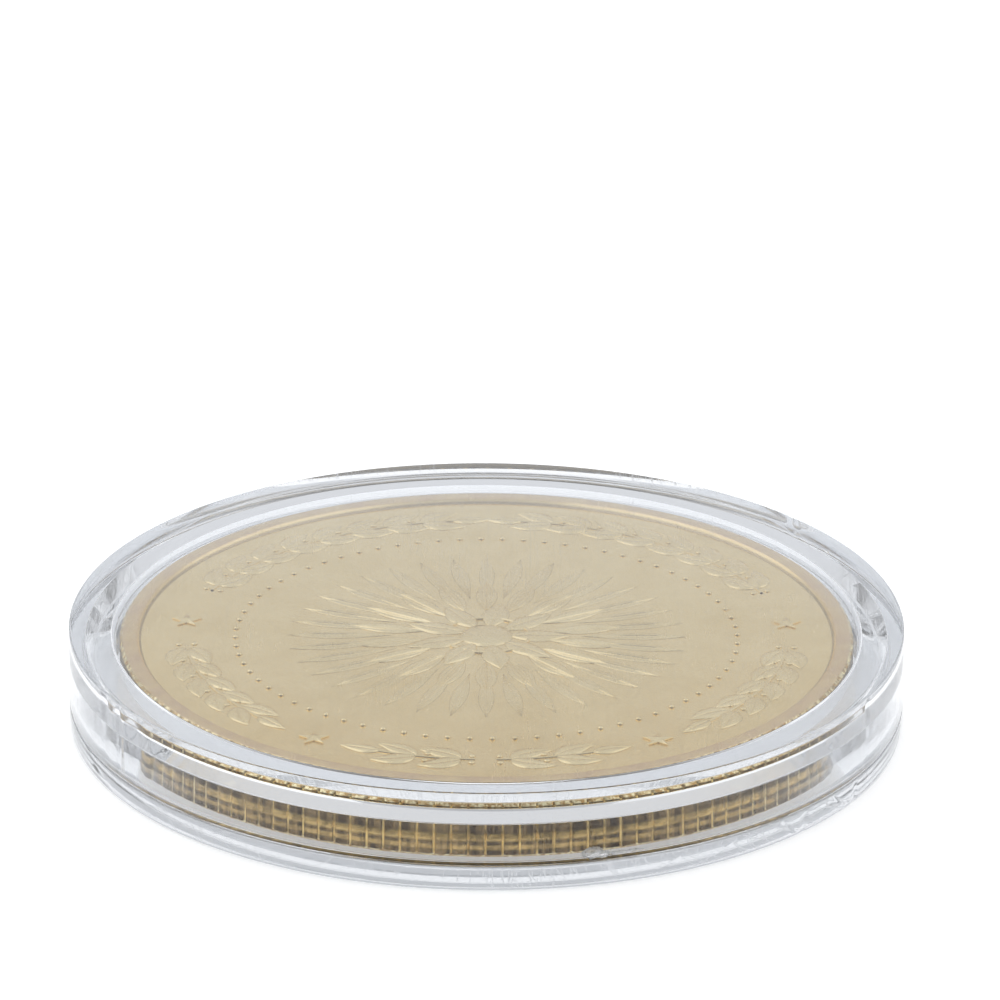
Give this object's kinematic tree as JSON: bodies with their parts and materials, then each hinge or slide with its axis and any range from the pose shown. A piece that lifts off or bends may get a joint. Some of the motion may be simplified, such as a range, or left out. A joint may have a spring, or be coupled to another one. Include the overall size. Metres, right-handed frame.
{
  "type": "coin capsule",
  "caption": "Round clear two-piece press-fit capsule closed over a gold-coloured coin with a raised rim and a reeded edge.",
  "frame": {"origin": "centre of the capsule's underside, on the axis of all three turned pieces", "axes": "+Z is the common axis of the base, coin and lid and points up through the lid; X and Y lie across the capsule, with -Y towards the viewer"},
  "size_m": [0.0456, 0.0456, 0.0057],
  "materials": {
    "clear_plastic": "clear, polished, with fine hairline scratches",
    "gold_plate": "struck and gold-plated, satin on the relief and brighter on the rim and reeds"
  },
  "bodies": {
    "base": {"capsule_base": "clear_plastic"},
    "lid": {"capsule_lid": "clear_plastic"},
    "coin": {"coin": "gold_plate"}
  },
  "joints": [
    {"name": "lid_lift", "type": "slide", "parent": "base", "child": "lid", "axis": [0, 0, 1], "range_m": [0, 0.03]},
    {"name": "coin_lift", "type": "slide", "parent": "base", "child": "coin", "axis": [0, 0, 1], "range_m": [0, 0.015]}
  ],
  "couplings": [
    {"joint": "coin_lift", "follows": "lid_lift", "ratio": 0.5}
  ]
}
